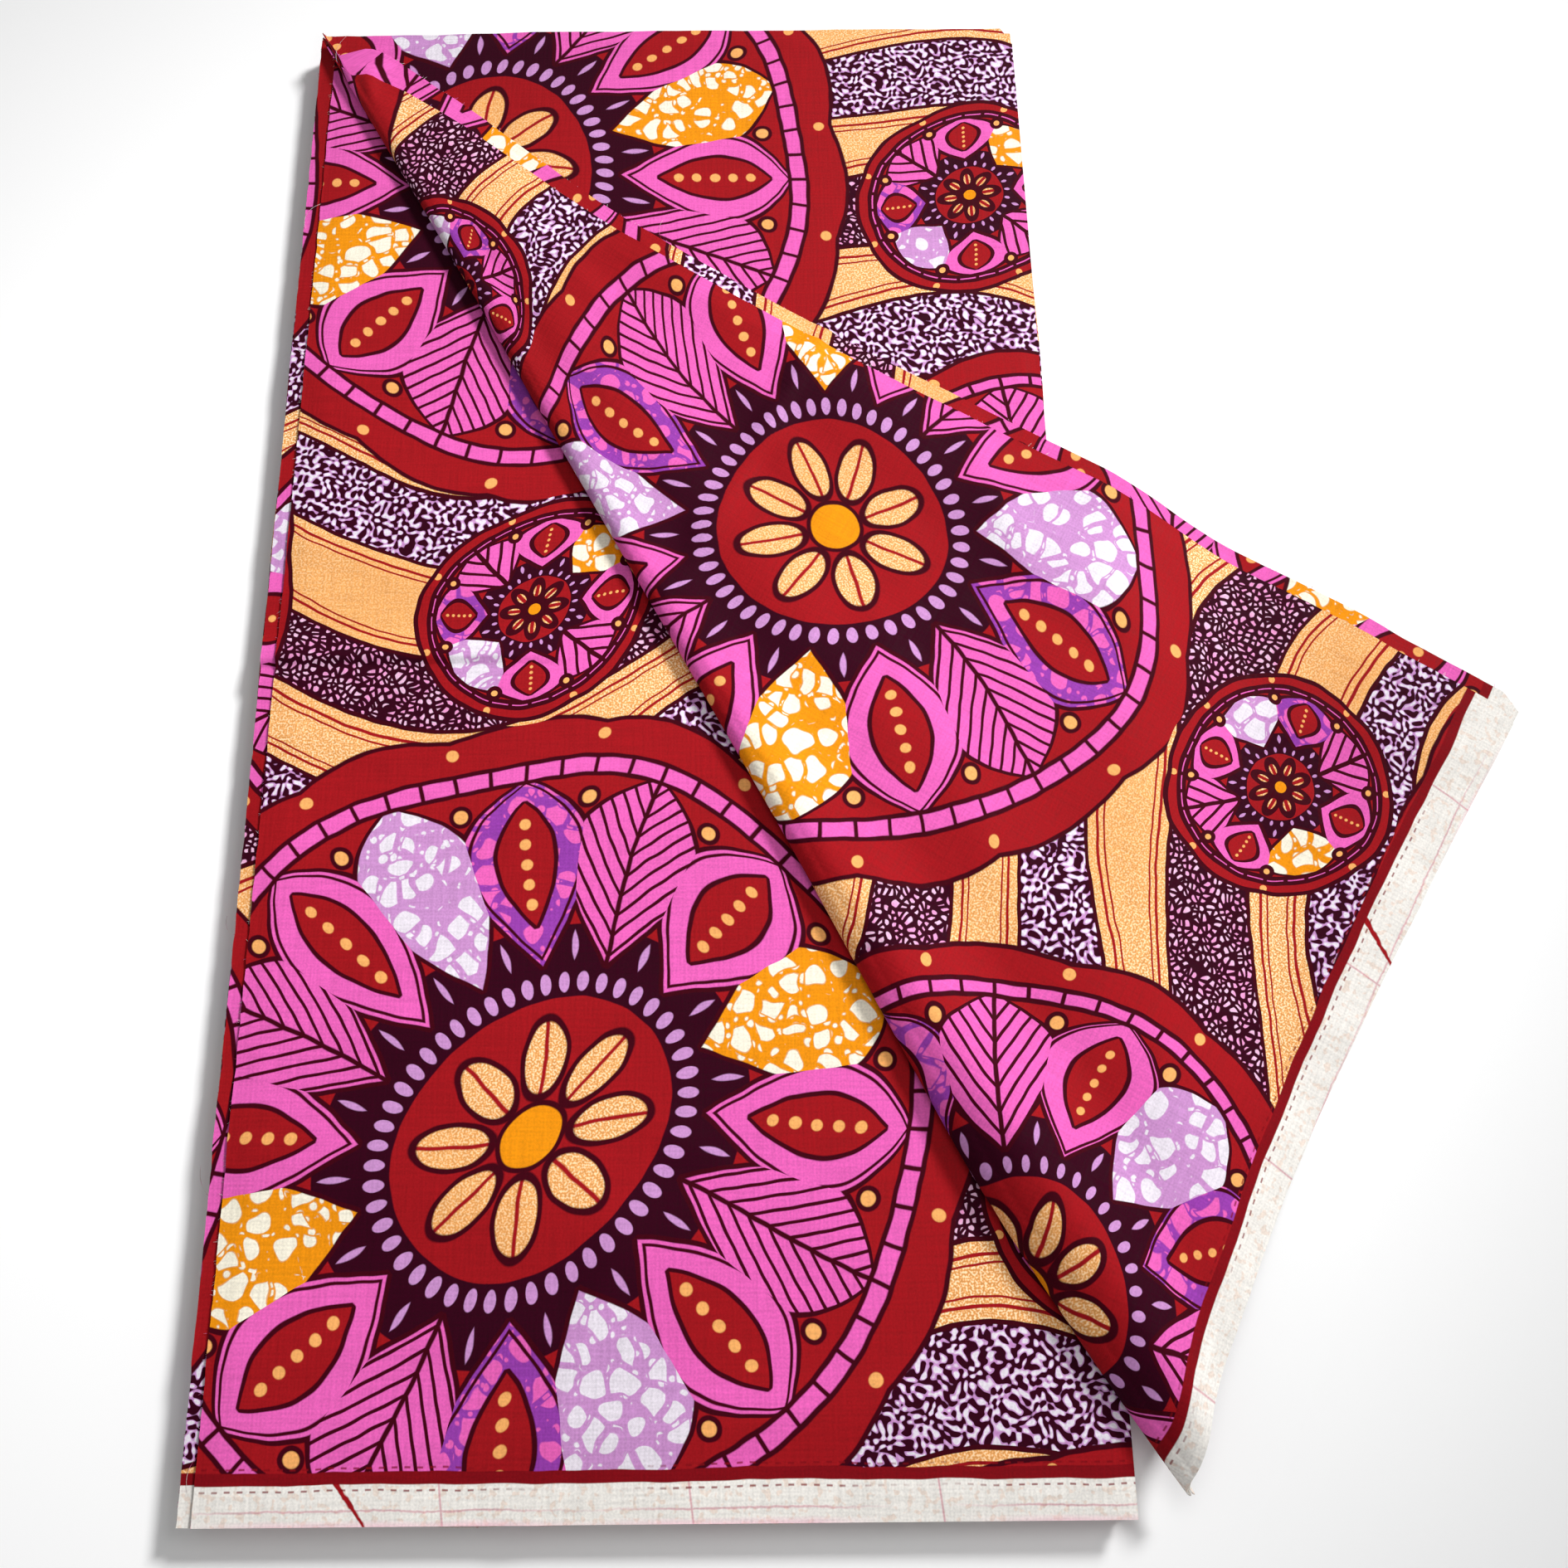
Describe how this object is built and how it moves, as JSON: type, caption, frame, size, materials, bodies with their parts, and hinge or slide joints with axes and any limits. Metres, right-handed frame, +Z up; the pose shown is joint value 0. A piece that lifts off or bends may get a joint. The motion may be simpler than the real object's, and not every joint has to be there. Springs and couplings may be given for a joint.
{
  "type": "folded wax-print cotton fabric",
  "caption": "Folded length of printed cotton lying flat as a long strip, its top double layer turned back on a diagonal so that one corner lies beside the stack.",
  "frame": {"origin": "on the surface that the cloth lies on, under the middle of its outline", "axes": "+X from the raw ends towards the turned-back corner, +Y along the strip from the selvedges to the long fold, +Z up out of the cloth"},
  "size_m": [0.4744, 0.586, 0.0251],
  "materials": {
    "stack_cloth": "matt cotton, edges of many layers",
    "under_cloth": "matt printed cotton",
    "base_cloth": "matt printed cotton with a slight waxy sheen",
    "inner_cloth": "matt printed cotton with a slight waxy sheen",
    "flap_cloth": "matt printed cotton with a slight waxy sheen"
  },
  "bodies": {
    "root": {"stack": "stack_cloth", "under_sheet": "under_cloth", "base_sheet": "base_cloth", "turned_inner": "inner_cloth", "turned_outer": "flap_cloth"}
  },
  "joints": []
}
